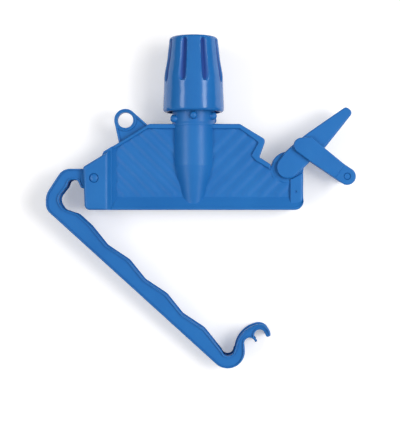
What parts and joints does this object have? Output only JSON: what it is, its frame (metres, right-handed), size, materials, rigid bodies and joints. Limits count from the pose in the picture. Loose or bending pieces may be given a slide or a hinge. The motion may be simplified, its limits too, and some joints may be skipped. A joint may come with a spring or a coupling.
{
  "type": "mop clamp",
  "caption": "Plastic clip for a looped wet mop, with a swinging gate, a lever latch with a bail and a screw collar that grips the pole.",
  "frame": {"origin": "centre of the flat floor of the pole socket, on the pole's axis", "axes": "+Y up the pole's axis out of the socket, +Z out of the front face, +X towards the lever"},
  "size_m": [0.233, 0.2504, 0.0464],
  "materials": {
    "body_plastic": "semi-gloss moulded blue",
    "collar_plastic": "glossy moulded blue",
    "pin_steel": "plain steel pin"
  },
  "bodies": {
    "holder": {"holder_body": "body_plastic", "gate_hinge_pin": "body_plastic"},
    "collet": {"collet_sleeve": "collar_plastic"},
    "collar": {"collar_nut": "collar_plastic"},
    "gate": {"gate_arm": "body_plastic"},
    "lever": {"latch_lever": "body_plastic", "lever_pivot_pin": "pin_steel"},
    "bail": {"bail_arm_front": "body_plastic", "bail_arm_rear": "body_plastic", "bail_pivot_pin": "pin_steel", "crossbar_pin": "body_plastic"},
    "roller": {"crossbar_roller": "body_plastic"}
  },
  "joints": [
    {"name": "gate_swing", "type": "hinge", "parent": "holder", "child": "gate", "pos_m": [-0.0746, 0.0105, 0], "axis": [0, 0, 1], "range_deg": [0, 43]},
    {"name": "lever_swing", "type": "hinge", "parent": "holder", "child": "lever", "pos_m": [0.0711, 0.0186, 0], "axis": [0, 0, 1], "range_deg": [-12, 67]},
    {"name": "bail_swing", "type": "hinge", "parent": "lever", "child": "bail", "pos_m": [0.08234, 0.03399, 0], "axis": [0, 0, -1], "range_deg": [-55, 49]},
    {"name": "roller_spin", "type": "hinge", "parent": "bail", "child": "roller", "pos_m": [0.11521, 0.01173, 0], "axis": [0, 0, 1], "continuous": true},
    {"name": "collet_slide", "type": "slide", "parent": "holder", "child": "collet", "axis": [0, 1, 0], "range_m": [0, 0.006]},
    {"name": "collar_turn", "type": "hinge", "parent": "collet", "child": "collar", "pos_m": [0, 0.09, 0], "axis": [0, 1, 0], "range_deg": [-1, 272]}
  ],
  "couplings": [
    {"joint": "collar_turn", "follows": "collet_slide", "rad_per_m": 785.4}
  ]
}
